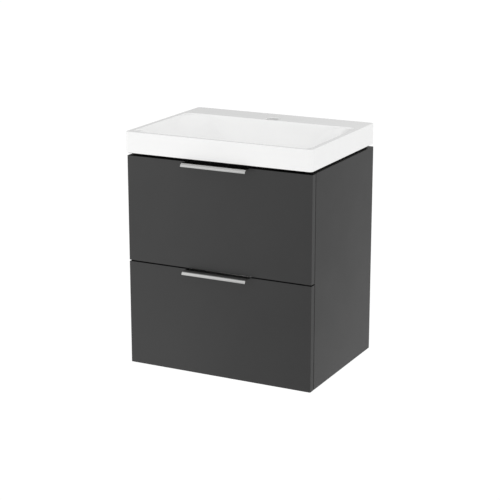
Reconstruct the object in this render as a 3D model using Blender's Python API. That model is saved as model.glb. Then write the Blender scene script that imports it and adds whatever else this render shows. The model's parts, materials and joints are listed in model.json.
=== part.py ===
"""Wall-hung bathroom vanity cabinet with two drawers and an inset basin.

Metres, +Z up, -Y towards the user, the wall at Y = 0.
Heights in the functions are measured from the underside of the cabinet.
The origin is on the wall plane, at the middle of the hanging rail.
"""

import math

import bmesh
import bpy
from mathutils import Matrix, Vector

# Overall size
WIDTH = 0.500
HEIGHT = 0.537
DEPTH = 0.370  # wall to the face of the drawer fronts
GAP = 0.0003  # between pieces that touch

# Carcass
BOARD = 0.018
FRONT_THICK = 0.018
FRONT_SPLIT = 0.003  # between the two drawer fronts
BUFFER_GAP = 0.0025  # between the carcass and the back of a front
FRONT_BACK_Y = -(DEPTH - FRONT_THICK)
CARCASS_Y = FRONT_BACK_Y + BUFFER_GAP
INNER_X = WIDTH / 2 - BOARD
RAIL_HEIGHT = 0.100
LOW_RAIL_HEIGHT = 0.080
FRONT_RAIL_HEIGHT = 0.070
NOTCH = 0.060
ORIGIN_HEIGHT = HEIGHT - RAIL_HEIGHT / 2

# Basin
BASIN_WIDTH = 0.503
BASIN_DEPTH = 0.3775
BASIN_BOTTOM = HEIGHT + 0.008
BASIN_TOP = BASIN_BOTTOM + 0.0525
BASIN_CORNER = 0.009
DECK_THICK = 0.014
DECK_DEPTH = 0.087
RIM = 0.0150
FRONT_RIM = 0.012
SHELL = 0.010
FOOT_OUTSIDE = 0.013
FOOT_WIDTH = 0.015
TAP_Y = -0.0665
TAP_RADIUS = 0.0178
WASTE_Y = -0.205
WASTE_RADIUS = 0.0225
BOSS_RADIUS = 0.034
BOSS_BOTTOM = 0.463
# Depth below the rim, then how far each wall has moved in: side, back, front, and corner radius
BOWL = (
    (0.000, 0.000, 0.000, 0.000, 0.018),
    (0.004, 0.003, 0.001, 0.002, 0.045),
    (0.010, 0.007, 0.003, 0.006, 0.066),
    (0.020, 0.014, 0.006, 0.014, 0.074),
    (0.034, 0.026, 0.011, 0.028, 0.072),
    (0.050, 0.042, 0.018, 0.045, 0.070),
    (0.066, 0.066, 0.027, 0.064, 0.070),
    (0.080, 0.098, 0.041, 0.085, 0.068),
    (0.090, 0.138, 0.060, 0.107, 0.056),
    (0.096, 0.180, 0.082, 0.129, 0.030),
)

# Drawers
FRONT_HEIGHT = (HEIGHT - FRONT_SPLIT) / 2
BOX_LENGTH = 0.300
BOX_BOARD = 0.015
BOX_BASE = 0.008
BASE_IN_GROOVE = 0.005
BASE_ABOVE_EDGE = 0.010
SIPHON_WIDTH = 0.150
SIPHON_FRONT_Y = -0.262
SIPHON_BOARD = 0.012

# Runners: three channels, one inside the other
RUNNER_LENGTH = 0.300
RUNNER_THICK = 0.0124
RUNNER_FRONT_Y = CARCASS_Y + 0.003
SHEET = 0.0012

# Edge-pull handles
HANDLE_LENGTH = 0.174
HANDLE_SHEET = 0.0014
HANDLE_LEG = 0.030
HANDLE_FLAT = 0.0185
HANDLE_NOSE = 0.0080
REBATE = 0.0018

# Name, height of the front's lower edge, box bottom, box height, runner middle height
DRAWERS = (
    ("upper", FRONT_HEIGHT + FRONT_SPLIT, 0.295, 0.110, 0.335),
    ("lower", 0.0, 0.030, 0.170, 0.080),
)

# Name: base colour, roughness, metallic
FINISHES = {
    "anthracite_front": ((0.060, 0.060, 0.062), 0.32, 0.0),
    "anthracite_carcass": ((0.075, 0.075, 0.077), 0.40, 0.0),
    "white_ceramic": ((0.90, 0.90, 0.895), 0.10, 0.0),
    "brushed_metal": ((0.62, 0.62, 0.61), 0.32, 1.0),
    "white_melamine": ((0.78, 0.78, 0.77), 0.50, 0.0),
    "zinc_steel": ((0.55, 0.56, 0.57), 0.35, 1.0),
    "screw_steel": ((0.48, 0.48, 0.47), 0.30, 1.0),
    "grey_plastic": ((0.35, 0.36, 0.37), 0.50, 0.0),
}


def clear_scene():
    for obj in list(bpy.data.objects):
        bpy.data.objects.remove(obj, do_unlink=True)


def finish(name):
    """The material of this name, made the first time it is asked for."""
    found = bpy.data.materials.get(name)
    if found:
        return found
    colour, roughness, metallic = FINISHES[name]
    made = bpy.data.materials.new(name)
    made.use_nodes = True
    shader = made.node_tree.nodes["Principled BSDF"]
    shader.inputs["Base Color"].default_value = (*colour, 1.0)
    shader.inputs["Roughness"].default_value = roughness
    shader.inputs["Metallic"].default_value = metallic
    return made


def place(name, bm, material, parent=None, smooth=False):
    """One object from a mesh drawn in place, with its own centre as its origin."""
    bmesh.ops.recalc_face_normals(bm, faces=bm.faces)
    low = Vector([min(v.co[i] for v in bm.verts) for i in range(3)])
    high = Vector([max(v.co[i] for v in bm.verts) for i in range(3)])
    centre = (low + high) / 2
    bmesh.ops.translate(bm, verts=bm.verts, vec=-centre)
    mesh = bpy.data.meshes.new(name)
    bm.to_mesh(mesh)
    bm.free()
    mesh.materials.append(finish(material))
    if smooth:
        mesh.shade_smooth()
        mesh.set_sharp_from_angle(angle=math.radians(35))
    obj = bpy.data.objects.new(name, mesh)
    bpy.context.collection.objects.link(obj)
    obj.location = centre - Vector((0, 0, ORIGIN_HEIGHT))
    if parent:
        obj.parent = parent
        obj.location -= parent.location
    return obj


def group(name, location):
    """An empty that carries the pieces of one moving body."""
    empty = bpy.data.objects.new(name, None)
    empty.empty_display_size = 0.03
    empty.location = Vector(location) - Vector((0, 0, ORIGIN_HEIGHT))
    bpy.context.collection.objects.link(empty)
    return empty


def block(x, y, z):
    """A box between three pairs of limits."""
    bm = bmesh.new()
    bmesh.ops.create_cube(bm, size=1.0)
    size = Vector((x[1] - x[0], y[1] - y[0], z[1] - z[0]))
    middle = Vector((x[0] + x[1], y[0] + y[1], z[0] + z[1])) / 2
    bmesh.ops.transform(bm, matrix=Matrix.Diagonal((*size, 1.0)), verts=bm.verts)
    bmesh.ops.translate(bm, verts=bm.verts, vec=middle)
    return bm


def prism(outline, along, low, high):
    """An outline swept along one axis. Its pairs are the other two coordinates, in X, Y, Z order."""
    def corner(pair, distance):
        values = list(pair)
        values.insert("XYZ".index(along), distance)
        return values

    bm = bmesh.new()
    face = bm.faces.new([bm.verts.new(corner(pair, low)) for pair in outline])
    swept = bmesh.ops.extrude_face_region(bm, geom=[face])
    moved = [item for item in swept["geom"] if isinstance(item, bmesh.types.BMVert)]
    shift = Vector(corner((0, 0), high - low))
    bmesh.ops.translate(bm, verts=moved, vec=shift)
    return bm


def rounded_rectangle(x, y, radius, steps):
    """Corner-rounded outline between the limits x and y, anticlockwise."""
    points = []
    corners = ((x[1], y[1], 0), (x[0], y[1], 90), (x[0], y[0], 180), (x[1], y[0], 270))
    for corner_x, corner_y, start in corners:
        centre_x = corner_x - radius * (1 if corner_x == x[1] else -1)
        centre_y = corner_y - radius * (1 if corner_y == y[1] else -1)
        for step in range(steps + 1):
            angle = math.radians(start + 90 * step / steps)
            points.append((centre_x + radius * math.cos(angle), centre_y + radius * math.sin(angle)))
    return points


def loft(sections):
    """A closed solid through outlines with equal numbers of points, each paired with its height."""
    bm = bmesh.new()
    rings = [[bm.verts.new((x, y, z)) for x, y in outline] for outline, z in sections]
    for ring, following in zip(rings, rings[1:]):
        for i in range(len(ring)):
            j = (i + 1) % len(ring)
            bm.faces.new((ring[i], ring[j], following[j], following[i]))
    bm.faces.new(rings[0])
    bm.faces.new(rings[-1])
    return bm


def bar(radius, along, centre, low, high, sides=16):
    """A round bar along one axis through a point given by its other two coordinates."""
    outline = []
    for side in range(sides):
        angle = 2 * math.pi * (side + 0.5) / sides
        outline.append((centre[0] + radius * math.cos(angle), centre[1] + radius * math.sin(angle)))
    return prism(outline, along, low, high)


def boolean(target, bm, operation):
    """Adds a mesh to an object or takes it away, leaving the result as its mesh."""
    bmesh.ops.recalc_face_normals(bm, faces=bm.faces)
    mesh = bpy.data.meshes.new("tool")
    bm.to_mesh(mesh)
    bm.free()
    tool = bpy.data.objects.new("tool", mesh)
    bpy.context.collection.objects.link(tool)
    tool.location = (0, 0, -ORIGIN_HEIGHT)
    modifier = target.modifiers.new("shape", "BOOLEAN")
    modifier.operation = operation
    modifier.object = tool
    bpy.context.view_layer.update()
    graph = bpy.context.evaluated_depsgraph_get()
    result = bpy.data.meshes.new_from_object(target.evaluated_get(graph))
    target.modifiers.clear()
    target.data = result
    bpy.data.objects.remove(tool, do_unlink=True)


def soften(obj, width, segments=2):
    modifier = obj.modifiers.new("edges", "BEVEL")
    modifier.width = width
    modifier.segments = segments
    modifier.limit_method = "ANGLE"
    modifier.angle_limit = math.radians(40)


# ---------------------------------------------------------------- carcass


def side_panels():
    for name, side in (("left", -1), ("right", 1)):
        x = sorted((side * INNER_X, side * WIDTH / 2))
        panel = place(f"side_panel_{name}", block(x, (CARCASS_Y, 0), (0, HEIGHT)), "anthracite_carcass")
        soften(panel, 0.0006, 1)


def carcass_rails():
    x = (-INNER_X + GAP, INNER_X - GAP)
    bottom = block(x, (CARCASS_Y, 0), (0, BOARD))
    place("bottom_panel", bottom, "anthracite_carcass")
    front = block(x, (CARCASS_Y, CARCASS_Y + BOARD), (HEIGHT - FRONT_RAIL_HEIGHT, HEIGHT))
    place("front_rail", front, "anthracite_carcass")
    low = BOARD + GAP
    rear = block(x, (-BOARD, 0), (low, low + LOW_RAIL_HEIGHT))
    place("lower_back_rail", rear, "anthracite_carcass")


def hanging_rail():
    """The upper back rail, with its top corners cut away for the wall hooks."""
    end = INNER_X - GAP
    top, low, notch = HEIGHT, HEIGHT - RAIL_HEIGHT, HEIGHT - NOTCH
    outline = [(-end, low), (end, low), (end, notch), (end - NOTCH, notch)]
    outline += [(end - NOTCH, top), (NOTCH - end, top), (NOTCH - end, notch), (-end, notch)]
    place("hanging_rail", prism(outline, "Y", -BOARD, 0), "anthracite_carcass")


# ---------------------------------------------------------------- wall fixing

HOOK_TOP = HEIGHT - 0.0035
PLATE_TOP = HOOK_TOP - 0.0035
HOUSING_THICK = 0.0165
HOOK_SHEET = 0.003


def mirrored(pairs, side):
    return [(side * a, b) for a, b in pairs]


def bracket_housings():
    """Open-topped steel channels on the side panels, in the top back corners."""
    wall = 0.0015
    outer, inner = INNER_X - GAP, INNER_X - GAP - HOUSING_THICK
    low, high = HEIGHT - 0.058, HOOK_TOP - HOOK_SHEET - 0.001
    outline = [(outer, low), (outer, high), (outer - wall, high), (outer - wall, low + wall)]
    outline += [(inner + wall, low + wall), (inner + wall, high), (inner, high), (inner, low)]
    for name, side in (("left", -1), ("right", 1)):
        bm = prism(mirrored(outline, side), "Y", -0.078, -0.020)
        place(f"bracket_housing_{name}", bm, "zinc_steel")


def bracket_hooks():
    """The hook stands in its housing, reaches back over the wall plate and drops behind its lip."""
    body_front, body_back, body_low = -0.056, -0.030, HEIGHT - 0.050
    tip, tip_low = -0.0022, HOOK_TOP - 0.012
    low = HOOK_TOP - HOOK_SHEET
    outline = [(body_front, body_low), (body_back, body_low), (body_back, low), (tip - 0.0026, low)]
    outline += [(tip - 0.0026, tip_low), (tip, tip_low), (tip, HOOK_TOP), (body_front, HOOK_TOP)]
    for name, side in (("left", -1), ("right", 1)):
        x = sorted((side * (INNER_X - 0.0140), side * (INNER_X - 0.0040)))
        place(f"bracket_hook_{name}", prism(outline, "X", *x), "zinc_steel")


def adjusting_screws():
    """Each screw comes through the open front of its housing and bears on the hook."""
    for name, side in (("left", -1), ("right", 1)):
        centre = (side * (INNER_X - 0.0090), HEIGHT - 0.030)
        place(f"adjusting_screw_{name}", bar(0.0035, "Y", centre, -0.084, -0.0563), "screw_steel", smooth=True)


def wall_plates():
    """Plates on the wall whose upper edge steps out to carry the hooks."""
    step, sheet = 0.0068, 0.0024
    low, bend = HEIGHT - 0.056, PLATE_TOP - 0.016
    outline = [(0, low), (0, bend), (-step, bend + step), (-step, PLATE_TOP)]
    outline += [(-step - sheet, PLATE_TOP), (-step - sheet, bend + step - 0.001)]
    outline += [(-sheet, bend - 0.001), (-sheet, low)]
    for name, side in (("left", -1), ("right", 1)):
        x = sorted((side * (INNER_X - NOTCH + 0.004), side * (INNER_X - 0.002)))
        plate = place(f"wall_plate_{name}", prism(outline, "X", *x), "zinc_steel")
        for across in (-0.014, 0.014):
            drill(plate, 0.0033, ((x[0] + x[1]) / 2 + across, low + 0.016), (-0.012, 0.005))


# ---------------------------------------------------------------- basin


def bowl_outline(inset, shell, steps=6):
    _, side, back, front, radius = inset
    half = BASIN_WIDTH / 2 - RIM - side + shell
    y = (-BASIN_DEPTH + FRONT_RIM + front - shell, -DECK_DEPTH - back + shell)
    return rounded_rectangle((-half, half), y, radius + shell * 0.8, steps)


def bowl_solid(shell=0.0, above=0.0):
    """The bowl's hollow or, with a shell, its outside; above carries its mouth over the rim."""
    sections = [(bowl_outline(inset, shell), BASIN_TOP - inset[0] - shell) for inset in BOWL]
    if above:
        sections.insert(0, (bowl_outline(BOWL[0], shell), BASIN_TOP + above))
    return loft(sections)


def basin():
    half = BASIN_WIDTH / 2
    foot = WIDTH / 2 - FOOT_OUTSIDE
    foot_front, foot_back = CARCASS_Y + 0.0025, -FOOT_OUTSIDE
    outside = rounded_rectangle((-half, half), (-BASIN_DEPTH, 0), BASIN_CORNER, 4)
    inside_x = (FOOT_WIDTH - foot, foot - FOOT_WIDTH)
    inside_y = (foot_front + FOOT_WIDTH, foot_back - FOOT_WIDTH)
    under = BASIN_TOP - DECK_THICK
    obj = place("basin", prism(outside, "Z", BASIN_BOTTOM, BASIN_TOP), "white_ceramic")
    foot_box = rounded_rectangle((-foot, foot), (foot_front, foot_back), 0.010, 4)
    boolean(obj, prism(foot_box, "Z", HEIGHT + GAP, BASIN_BOTTOM + 0.004), "UNION")
    hollow = rounded_rectangle(inside_x, inside_y, 0.008, 4)
    boolean(obj, prism(hollow, "Z", HEIGHT - 0.010, under), "DIFFERENCE")
    boolean(obj, bowl_solid(SHELL), "UNION")
    boss = bar(BOSS_RADIUS, "Z", (0, WASTE_Y), BOSS_BOTTOM, BASIN_TOP - BOWL[-1][0] - 0.002, 24)
    boolean(obj, boss, "UNION")
    boolean(obj, bowl_solid(0.0, 0.010), "DIFFERENCE")
    waste = bar(WASTE_RADIUS, "Z", (0, WASTE_Y), BOSS_BOTTOM - 0.01, BASIN_TOP, 24)
    boolean(obj, waste, "DIFFERENCE")
    tap = bar(TAP_RADIUS, "Z", (0, TAP_Y), HEIGHT - 0.02, BASIN_TOP + 0.01, 24)
    boolean(obj, tap, "DIFFERENCE")
    obj.data.shade_smooth()
    obj.data.set_sharp_from_angle(angle=math.radians(35))


# ---------------------------------------------------------------- runners


def channel(x_open, x_web, half_height, centre_z):
    """A thin C section: its web at x_web, its flanges reaching to x_open."""
    towards = 1 if x_open > x_web else -1
    inner = x_web + towards * SHEET
    low, high = centre_z - half_height, centre_z + half_height
    outline = [(x_web, low), (x_open, low), (x_open, low + SHEET), (inner, low + SHEET)]
    outline += [(inner, high - SHEET), (x_open, high - SHEET), (x_open, high), (x_web, high)]
    return outline


def runner(drawer, name, side, centre_z, drawer_body):
    """Cabinet, middle and drawer members; the middle one moves half as far as the drawer."""
    outer = INNER_X - GAP
    inner = outer - RUNNER_THICK
    y = (RUNNER_FRONT_Y, RUNNER_FRONT_Y + RUNNER_LENGTH)
    cabinet = mirrored(channel(inner + 0.0022, outer, 0.0225, centre_z), side)
    middle = mirrored(channel(inner + 0.0018, outer - SHEET - 0.0014, 0.0185, centre_z), side)
    moving = mirrored(channel(outer - 2 * SHEET - 0.0030, inner, 0.0145, centre_z), side)
    label = f"{drawer}_{name}"
    place(f"runner_cabinet_{label}", prism(cabinet, "Y", *y), "zinc_steel")
    carrier = group(f"slide_{label}", (side * (outer - RUNNER_THICK / 2), y[0], centre_z))
    place(f"runner_middle_{label}", prism(middle, "Y", *y), "zinc_steel", carrier)
    place(f"runner_drawer_{label}", prism(moving, "Y", *y), "zinc_steel", drawer_body)


def damper(drawer, name, side, centre_z):
    """The soft-close cylinder, screwed to the side panel just above the runner."""
    outer = INNER_X - GAP
    back = RUNNER_FRONT_Y + RUNNER_LENGTH
    centre = (side * (outer - 0.0056), centre_z + 0.0225 + 0.0065)
    bm = bar(0.0054, "Y", centre, back - 0.095, back - 0.010, 12)
    place(f"damper_{drawer}_{name}", bm, "grey_plastic", smooth=True)


# ---------------------------------------------------------------- drawers


def handle_outline(front_top):
    """Section of the edge pull in Y and Z: rear leg, flush top flange and a quarter-round nose."""
    sheet, back = HANDLE_SHEET, FRONT_BACK_Y + GAP
    under = front_top - REBATE + GAP
    turn = [math.radians(90 * step / 8) for step in range(9)]
    middle_y, middle_z = -DEPTH - HANDLE_FLAT, under + sheet - HANDLE_NOSE
    outside = [(middle_y - HANDLE_NOSE * math.sin(a), middle_z + HANDLE_NOSE * math.cos(a)) for a in turn]
    small = HANDLE_NOSE - sheet
    inside = [(middle_y - small * math.sin(a), middle_z + small * math.cos(a)) for a in turn]
    leg = [(back, under), (back, front_top - HANDLE_LEG), (back + sheet, front_top - HANDLE_LEG)]
    return leg + [(back + sheet, under + sheet)] + outside + inside[::-1]


def handle(drawer, front_top, body):
    half = HANDLE_LENGTH / 2
    place(f"{drawer}_handle", prism(handle_outline(front_top), "X", -half, half), "brushed_metal", body)


def screw(name, centre, y_head, y_tip, body, radius=0.0020, head=0.0038, head_depth=0.0020):
    """A pan-head screw along Y whose head is at the back and whose tip points to the front."""
    bm = bmesh.new()
    lengths = ((y_head, head * 0.7), (y_head - 0.0008, head), (y_head - head_depth, head))
    lengths += ((y_head - head_depth, radius), (y_tip + radius, radius), (y_tip, radius * 0.25))
    rings = []
    for y, r in lengths:
        ring = []
        for step in range(10):
            angle = 2 * math.pi * step / 10
            ring.append(bm.verts.new((centre[0] + r * math.cos(angle), y, centre[1] + r * math.sin(angle))))
        rings.append(ring)
    for ring, following in zip(rings, rings[1:]):
        for i in range(10):
            bm.faces.new((ring[i], ring[(i + 1) % 10], following[(i + 1) % 10], following[i]))
    bm.faces.new(rings[0])
    bm.faces.new(rings[-1])
    place(name, bm, "screw_steel", body, smooth=True)


def drill(obj, radius, centre, y):
    boolean(obj, bar(radius, "Y", centre, *y, 10), "DIFFERENCE")


def drawer_front(drawer, low, body, drillings):
    half = WIDTH / 2
    bm = block((-half, half), (-DEPTH, FRONT_BACK_Y), (low, low + FRONT_HEIGHT))
    bevelled = [edge for edge in bm.edges if all(v.co.y < -DEPTH + 0.001 for v in edge.verts)]
    bmesh.ops.bevel(bm, geom=bevelled, offset=0.0010, segments=2, profile=0.5, affect="EDGES")
    front = place(f"{drawer}_drawer_front", bm, "anthracite_front", body)
    front_world = front.location + body.location
    front.parent = None
    front.location = front_world
    for x, z in drillings:
        drill(front, 0.0023, (x, z), (FRONT_BACK_Y - 0.0125, FRONT_BACK_Y + 0.01))
    reach, top = HANDLE_LENGTH / 2 + GAP, low + FRONT_HEIGHT
    rebate = block((-reach, reach), (-DEPTH - 0.01, FRONT_BACK_Y + 0.01), (top - REBATE, top + 0.01))
    boolean(front, rebate, "DIFFERENCE")
    front.parent = body
    front.location = front_world - body.location


def box_side(drawer, name, side, low, height, body):
    """A board with the groove that holds the drawer's base."""
    outer = INNER_X - GAP - RUNNER_THICK - GAP
    inner = outer - BOX_BOARD
    groove = inner + BASE_IN_GROOVE + GAP
    base_low = low + BASE_ABOVE_EDGE - GAP
    base_high = low + BASE_ABOVE_EDGE + BOX_BASE + GAP
    outline = [(outer, low), (outer, low + height), (inner, low + height), (inner, base_high)]
    outline += [(groove, base_high), (groove, base_low), (inner, base_low), (inner, low)]
    y = (FRONT_BACK_Y + GAP, FRONT_BACK_Y + GAP + BOX_LENGTH)
    bm = prism(mirrored(outline, side), "Y", *y)
    place(f"{drawer}_box_side_{name}", bm, "white_melamine", body)


def box_front(drawer, low, height, body, drillings):
    half = INNER_X - GAP - RUNNER_THICK - GAP - BOX_BOARD - GAP
    front = FRONT_BACK_Y + GAP
    above = low + BASE_ABOVE_EDGE + BOX_BASE + GAP
    board = place(f"{drawer}_box_front", block((-half, half), (front, front + BOX_BOARD), (above, low + height)),
                  "white_melamine")
    for centre in drillings:
        drill(board, 0.0023, centre, (front - 0.01, front + BOX_BOARD + 0.01))
    board.parent = body
    board.location -= body.location


def plain_back(drawer, low, height, body):
    half = INNER_X - GAP - RUNNER_THICK - GAP - BOX_BOARD - GAP
    back = FRONT_BACK_Y + GAP + BOX_LENGTH
    above = low + BASE_ABOVE_EDGE + BOX_BASE + GAP
    bm = block((-half, half), (back - BOX_BOARD, back), (above, low + height))
    place(f"{drawer}_box_back", bm, "white_melamine", body)


def split_back(drawer, low, height, body):
    """Two short back boards, one each side of the siphon recess."""
    half = INNER_X - GAP - RUNNER_THICK - GAP - BOX_BOARD - GAP
    inner = SIPHON_WIDTH / 2 + SIPHON_BOARD + GAP
    back = FRONT_BACK_Y + GAP + BOX_LENGTH
    above = low + BASE_ABOVE_EDGE + BOX_BASE + GAP
    for name, side in (("left", -1), ("right", 1)):
        x = sorted((side * inner, side * half))
        bm = block(x, (back - BOX_BOARD, back), (above, low + height))
        place(f"{drawer}_box_back_{name}", bm, "white_melamine", body)


def base_limits(low):
    half = INNER_X - GAP - RUNNER_THICK - GAP - BOX_BOARD + BASE_IN_GROOVE
    front = FRONT_BACK_Y + GAP
    return half, front, front + BOX_LENGTH, low + BASE_ABOVE_EDGE


def plain_base(drawer, low, body):
    half, front, back, under = base_limits(low)
    bm = block((-half, half), (front, back), (under, under + BOX_BASE))
    place(f"{drawer}_box_base", bm, "white_melamine", body)


def cut_base(drawer, low, body):
    """The base around the siphon recess, which is open to the back."""
    half, front, back, under = base_limits(low)
    cut = SIPHON_WIDTH / 2
    outline = [(-half, front), (half, front), (half, back), (cut, back), (cut, SIPHON_FRONT_Y)]
    outline += [(-cut, SIPHON_FRONT_Y), (-cut, back), (-half, back)]
    bm = prism(outline, "Z", under, under + BOX_BASE)
    place(f"{drawer}_box_base", bm, "white_melamine", body)


def siphon_surround(drawer, low, height, body):
    """The U-shaped wall that keeps the drawer's contents off the waste pipe."""
    _, _, back, under = base_limits(low)
    above = under + BOX_BASE + GAP
    inner, outer = SIPHON_WIDTH / 2, SIPHON_WIDTH / 2 + SIPHON_BOARD
    outline = [(-outer, SIPHON_FRONT_Y - SIPHON_BOARD), (outer, SIPHON_FRONT_Y - SIPHON_BOARD)]
    outline += [(outer, back), (inner, back), (inner, SIPHON_FRONT_Y), (-inner, SIPHON_FRONT_Y)]
    outline += [(-inner, back), (-outer, back)]
    bm = prism(outline, "Z", above, low + height)
    place(f"{drawer}_siphon_surround", bm, "white_melamine", body)


def drawer(name, front_low, box_low, box_height, runner_z):
    body = group(f"{name}_drawer", (0, FRONT_BACK_Y, runner_z))
    front_top = front_low + FRONT_HEIGHT
    heights = (box_low + 0.035, box_low + box_height - 0.020)
    fixings = [(x, z) for x in (-0.165, 0.165) for z in heights]
    leg_z = front_top - HANDLE_LEG + 0.010
    pulls = [(-0.060, leg_z), (0.060, leg_z)]
    drawer_front(name, front_low, body, fixings + pulls)
    handle(name, front_top, body)
    pull = bpy.data.objects[f"{name}_handle"]
    pull.parent = None
    pull.location += body.location
    for centre in pulls:
        drill(pull, 0.0023, centre, (FRONT_BACK_Y - 0.005, FRONT_BACK_Y + 0.01))
    pull.parent = body
    pull.location -= body.location
    box_front(name, box_low, box_height, body, fixings)
    for label, side in (("left", -1), ("right", 1)):
        box_side(name, label, side, box_low, box_height, body)
        runner(name, label, side, runner_z, body)
        damper(name, label, side, runner_z)
    if name == "upper":
        split_back(name, box_low, box_height, body)
        cut_base(name, box_low, body)
        siphon_surround(name, box_low, box_height, body)
    else:
        plain_back(name, box_low, box_height, body)
        plain_base(name, box_low, body)
    inside = FRONT_BACK_Y + GAP + BOX_BOARD + 0.0023
    for number, centre in enumerate(fixings, 1):
        screw(f"{name}_front_screw_{number}", centre, inside, FRONT_BACK_Y - 0.012, body)
    leg_back = FRONT_BACK_Y + GAP + HANDLE_SHEET + 0.0003
    for number, centre in enumerate(pulls, 1):
        screw(f"{name}_handle_screw_{number}", centre, leg_back + 0.0005, FRONT_BACK_Y - 0.010, body,
              head_depth=0.0002)


clear_scene()
side_panels()
carcass_rails()
hanging_rail()
bracket_housings()
bracket_hooks()
adjusting_screws()
wall_plates()
basin()
for measures in DRAWERS:
    drawer(*measures)
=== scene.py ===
"""Looks of the wall-hung bathroom vanity cabinet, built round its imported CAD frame."""

import json
import math
from itertools import product

import bmesh
import bpy
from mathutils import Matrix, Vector

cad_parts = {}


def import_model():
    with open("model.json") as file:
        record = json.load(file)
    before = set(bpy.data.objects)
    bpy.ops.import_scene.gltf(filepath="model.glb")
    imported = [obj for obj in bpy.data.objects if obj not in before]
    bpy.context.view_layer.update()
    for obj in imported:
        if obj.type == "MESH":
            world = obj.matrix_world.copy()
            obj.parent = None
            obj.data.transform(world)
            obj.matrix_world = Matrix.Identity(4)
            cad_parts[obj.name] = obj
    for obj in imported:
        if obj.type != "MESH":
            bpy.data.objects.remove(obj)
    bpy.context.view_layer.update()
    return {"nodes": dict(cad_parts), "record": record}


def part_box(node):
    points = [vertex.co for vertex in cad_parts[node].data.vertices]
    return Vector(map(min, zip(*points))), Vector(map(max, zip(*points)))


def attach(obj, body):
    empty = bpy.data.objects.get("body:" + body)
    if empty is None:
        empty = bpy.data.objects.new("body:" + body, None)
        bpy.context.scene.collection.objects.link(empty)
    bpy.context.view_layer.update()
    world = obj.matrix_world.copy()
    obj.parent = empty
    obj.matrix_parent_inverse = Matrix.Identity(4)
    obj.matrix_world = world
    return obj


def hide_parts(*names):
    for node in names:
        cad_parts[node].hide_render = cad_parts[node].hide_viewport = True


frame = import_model()
BODIES = frame["record"]["behaviour"]["bodies"]
BODY_OF = {node: body for body, nodes in BODIES.items() for node in nodes}
SLOT_OF = {entry["node"]: entry["material_slot"] for entry in frame["record"]["subparts"]}

# ---------------------------------------------------------------- places read from the frame

BASIN_LOW, BASIN_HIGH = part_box("basin")
SIDE_LOW, SIDE_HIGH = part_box("side_panel_right")
UPPER_LOW, UPPER_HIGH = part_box("upper_drawer_front")
LOWER_LOW, LOWER_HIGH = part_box("lower_drawer_front")
UNDERSIDE = SIDE_LOW.z
CABINET_TOP = SIDE_HIGH.z
FACE_Y = UPPER_LOW.y
INNER_X = SIDE_LOW.x

# Basin, as in the CAD part: skirt, deck and walls
BASIN_TOP = BASIN_HIGH.z
SKIRT = 0.0525
BASIN_BOTTOM = BASIN_TOP - SKIRT
BASIN_HALF = BASIN_HIGH.x
BASIN_DEPTH = -BASIN_LOW.y
BASIN_CORNER = 0.009
DECK_THICK = 0.014
DECK_DEPTH = 0.087
RIM = 0.015
FRONT_RIM = 0.012
SHELL = 0.010
# Rounding of the skirt's top and bottom edges and of the bowl's mouth
TOP_EDGE = 0.0018
LOW_EDGE = 0.0012
BOWL_LIP = 0.0022
# Foot under the skirt: distance in from the cabinet's outside and from the front edge of its sides,
# wall, corners, how far it reaches up into the skirt, and the corners of the hollow inside it
FOOT_OUTSIDE = 0.013
FOOT_FRONT = 0.0025
FOOT_WIDTH = 0.015
FOOT_CORNER = 0.010
FOOT_ROOT = 0.004
HOLLOW_CORNER = 0.008
# Tap hole and waste, with the boss that surrounds the waste hole from below
TAP_Y = -0.0665
TAP_RADIUS = 0.0178
TAP_FLARE = 0.0012
WASTE_Y = -0.205
WASTE_RADIUS = 0.0225
WASTE_FLARE = 0.003
BOSS_RADIUS = 0.034
BOSS_CHAMFER = 0.001
BOSS_UNDER_FLOOR = 0.002
# Depth below the rim, then how far each wall has moved in: side, back, front, and corner radius
BOWL = (
    (0.000, 0.000, 0.000, 0.000, 0.018),
    (0.004, 0.003, 0.001, 0.002, 0.045),
    (0.010, 0.007, 0.003, 0.006, 0.066),
    (0.020, 0.014, 0.006, 0.014, 0.074),
    (0.034, 0.026, 0.011, 0.028, 0.072),
    (0.050, 0.042, 0.018, 0.045, 0.070),
    (0.066, 0.066, 0.027, 0.064, 0.070),
    (0.080, 0.098, 0.041, 0.085, 0.068),
    (0.090, 0.138, 0.060, 0.107, 0.056),
    (0.096, 0.180, 0.082, 0.129, 0.030),
)

# Handles, as in the CAD part: half length, sheet, rear leg, flat flange ahead of the front, nose's radius
HANDLE_HALF = 0.087
HANDLE_SHEET = 0.0014
HANDLE_LEG = 0.030
HANDLE_FLAT = 0.0185
HANDLE_NOSE = 0.0080
REBATE = 0.0018

# Gap between pieces that lie against each other, and how far a cutter reaches past what it cuts
TOUCH = 0.0003
PAST = 0.010

# Black strip under the basin, painted shade filling the gap there: a flange set in from the skirt's edge, and
# a lip round the foot
SEAL_INSET = 0.004
SEAL_CORNER = 0.006
SEAL_LIP = 0.0022
SEAL_LIP_CORNER = 0.011
SEAL_LIP_BELOW = 0.0008
SEAL_FLANGE = 0.0016
SEAL_FREE = 0.0001

# Widths of the softened edges
FRONT_EDGE = 0.0009
CARCASS_EDGE = 0.0006
DRAWER_EDGE = 0.0005
SHEET_EDGE = 0.0003
HANDLE_EDGE = 0.00035
SEAL_EDGE = 0.0003

# Screws: thread, measured from the head and from the tip, and cross recess
THREAD_PITCH = 0.0011
THREAD_START = 0.0026
THREAD_END = 0.0030
RECESS_DEPTH = 0.0013
ADJUSTER_RECESS_DEPTH = 0.0014
RECESS_PAST = 0.001

# Cover caps over the cam locks: distance from the sides, from a board's ends, and up from its low edge
CAP_RADIUS = 0.0088
CAP_THICK = 0.0010
CAM_FROM_SIDE = 0.034
CAM_FROM_END = 0.050
CAM_HEIGHT = {"front_rail": 0.038, "hanging_rail": 0.020, "lower_back_rail": 0.038}
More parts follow.
